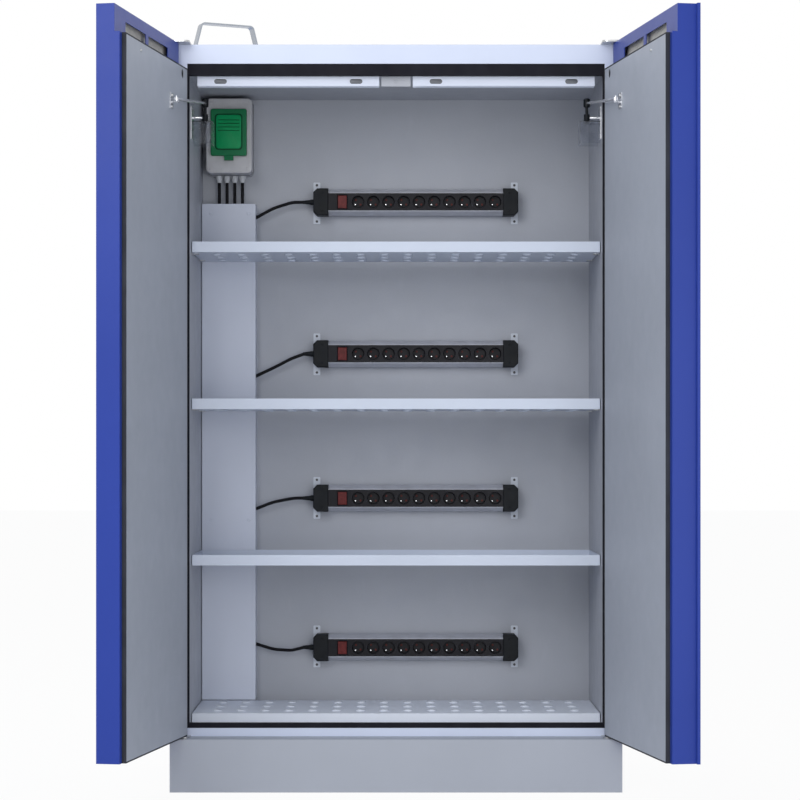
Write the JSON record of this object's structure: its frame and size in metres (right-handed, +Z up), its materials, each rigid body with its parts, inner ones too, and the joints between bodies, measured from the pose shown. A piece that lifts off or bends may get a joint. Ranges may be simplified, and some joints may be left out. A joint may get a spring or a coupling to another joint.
{
  "type": "battery charging cabinet",
  "caption": "Free-standing two-door insulated cabinet with perforated shelves, switched socket strips, a cable duct and a small distribution box, doors open.",
  "frame": {"origin": "on the floor, in the middle of the plinth's front board", "axes": "+Z up, +X to the right of someone facing the doors, +Y into the cabinet"},
  "size_m": [1.4713, 1.1437, 2.074],
  "materials": {
    "grey_paint": "light grey powder coat, satin",
    "blue_paint": "blue powder coat, satin",
    "panel_grey": "grey laminated board",
    "lining_grey": "grey laminated board",
    "fire_board": "mineral board",
    "black_seal": "matt black",
    "white_paint": "white powder coat, satin",
    "bright_metal": "polished",
    "plated_steel": "zinc plated",
    "black_plastic": "fine moulded texture",
    "clear_plastic": "clear, polished",
    "green_clear": "clear green, polished",
    "box_plastic": "light grey, fine moulded texture",
    "gland_plastic": "light grey moulded",
    "breaker_plastic": "off-white moulded",
    "toggle_plastic": "black",
    "aluminium": "anodised, satin",
    "rocker_red": "clear red, lit from inside",
    "cable_black": "matt black sheath"
  },
  "bodies": {
    "cabinet": {"plinth_frame": "grey_paint", "plinth_panel": "grey_paint", "levelling_feet": "black_plastic", "casing_wrap": "grey_paint", "casing_back": "grey_paint", "casing_floor": "grey_paint", "fire_boards": "fire_board", "side_linings": "lining_grey", "floor_and_ceiling_linings": "lining_grey", "back_lining": "lining_grey", "opening_seal": "black_seal", "pivot_plates": "plated_steel", "closer_rails": "white_paint", "bolt_keeper": "lining_grey", "shelves": "white_paint", "bottom_tray": "white_paint", "shelf_supports": "plated_steel", "stay_wall_feet": "bright_metal", "stay_dampers": "black_plastic", "stay_guards": "clear_plastic", "box_base": "box_plastic", "box_cover": "box_plastic", "breakers": "breaker_plastic", "cable_glands": "gland_plastic", "feeder_cables": "cable_black", "cable_duct": "white_paint", "strip_profiles": "aluminium", "strip_inserts": "black_plastic", "strip_caps": "black_plastic", "strip_brackets": "white_paint", "roof_bow": "bright_metal", "strip_lead_1": "cable_black", "strip_lead_2": "cable_black", "strip_lead_3": "cable_black", "strip_lead_4": "cable_black"},
    "left_door": {"left_door_shell": "blue_paint", "left_door_board": "fire_board", "left_door_panel": "panel_grey", "left_door_seal": "black_seal", "left_door_bracket": "bright_metal"},
    "left_stay": {"left_stay_rod": "bright_metal", "left_stay_elbow": "black_plastic"},
    "right_door": {"right_door_shell": "blue_paint", "right_door_board": "fire_board", "right_door_panel": "panel_grey", "right_door_seal": "black_seal", "right_door_bracket": "bright_metal", "handle_plate": "black_plastic"},
    "right_stay": {"right_stay_rod": "bright_metal", "right_stay_elbow": "black_plastic"},
    "door_handle": {"door_handle": "black_plastic"},
    "box_flap": {"box_flap": "green_clear"},
    "breaker_toggle_1": {"breaker_toggle_1": "toggle_plastic"},
    "strip_rocker_1": {"strip_rocker_1": "rocker_red"},
    "breaker_toggle_2": {"breaker_toggle_2": "toggle_plastic"},
    "strip_rocker_2": {"strip_rocker_2": "rocker_red"},
    "breaker_toggle_3": {"breaker_toggle_3": "toggle_plastic"},
    "strip_rocker_3": {"strip_rocker_3": "rocker_red"},
    "breaker_toggle_4": {"breaker_toggle_4": "toggle_plastic"},
    "strip_rocker_4": {"strip_rocker_4": "rocker_red"}
  },
  "joints": [
    {"name": "left_door_hinge", "type": "hinge", "parent": "cabinet", "child": "left_door", "pos_m": [-0.587, 0.0365, 1.0645], "axis": [0, 0, 1], "range_deg": [0, 100]},
    {"name": "right_door_hinge", "type": "hinge", "parent": "cabinet", "child": "right_door", "pos_m": [0.587, 0.0365, 1.0645], "axis": [0, 0, -1], "range_deg": [0, 100]},
    {"name": "left_stay_swing", "type": "hinge", "parent": "left_door", "child": "left_stay", "pos_m": [-0.56861, -0.12413, 1.812], "axis": [0, 0, 1], "range_deg": [-75, 0]},
    {"name": "right_stay_swing", "type": "hinge", "parent": "right_door", "child": "right_stay", "pos_m": [0.56861, -0.12413, 1.812], "axis": [0, 0, -1], "range_deg": [-75, 0]},
    {"name": "handle_turn", "type": "hinge", "parent": "right_door", "child": "door_handle", "pos_m": [0.716, -0.43019, 0.92], "axis": [0.9848, 0.1736, 0], "range_deg": [0, 90]},
    {"name": "flap_hinge", "type": "hinge", "parent": "cabinet", "child": "box_flap", "pos_m": [-0.472, 0.4551, 1.8665], "axis": [-1, 0, 0], "range_deg": [0, 90]},
    {"name": "toggle_1_throw", "type": "hinge", "parent": "cabinet", "child": "breaker_toggle_1", "pos_m": [-0.49825, 0.4545, 1.8005], "axis": [1, 0, 0], "range_deg": [0, 70]},
    {"name": "toggle_2_throw", "type": "hinge", "parent": "cabinet", "child": "breaker_toggle_2", "pos_m": [-0.48075, 0.4545, 1.8005], "axis": [1, 0, 0], "range_deg": [0, 70]},
    {"name": "toggle_3_throw", "type": "hinge", "parent": "cabinet", "child": "breaker_toggle_3", "pos_m": [-0.46325, 0.4545, 1.8005], "axis": [1, 0, 0], "range_deg": [0, 70]},
    {"name": "toggle_4_throw", "type": "hinge", "parent": "cabinet", "child": "breaker_toggle_4", "pos_m": [-0.44575, 0.4545, 1.8005], "axis": [1, 0, 0], "range_deg": [0, 70]},
    {"name": "rocker_1_tip", "type": "hinge", "parent": "cabinet", "child": "strip_rocker_1", "pos_m": [-0.153, 0.5155, 1.6115], "axis": [-1, 0, 0], "range_deg": [0, 12]},
    {"name": "rocker_2_tip", "type": "hinge", "parent": "cabinet", "child": "strip_rocker_2", "pos_m": [-0.153, 0.5155, 1.1785], "axis": [-1, 0, 0], "range_deg": [0, 12]},
    {"name": "rocker_3_tip", "type": "hinge", "parent": "cabinet", "child": "strip_rocker_3", "pos_m": [-0.153, 0.5155, 0.7665], "axis": [-1, 0, 0], "range_deg": [0, 12]},
    {"name": "rocker_4_tip", "type": "hinge", "parent": "cabinet", "child": "strip_rocker_4", "pos_m": [-0.153, 0.5155, 0.3405], "axis": [-1, 0, 0], "range_deg": [0, 12]}
  ],
  "couplings": [
    {"joint": "left_stay_swing", "follows": "left_door_hinge", "ratio": -0.735},
    {"joint": "right_stay_swing", "follows": "right_door_hinge", "ratio": -0.735}
  ]
}
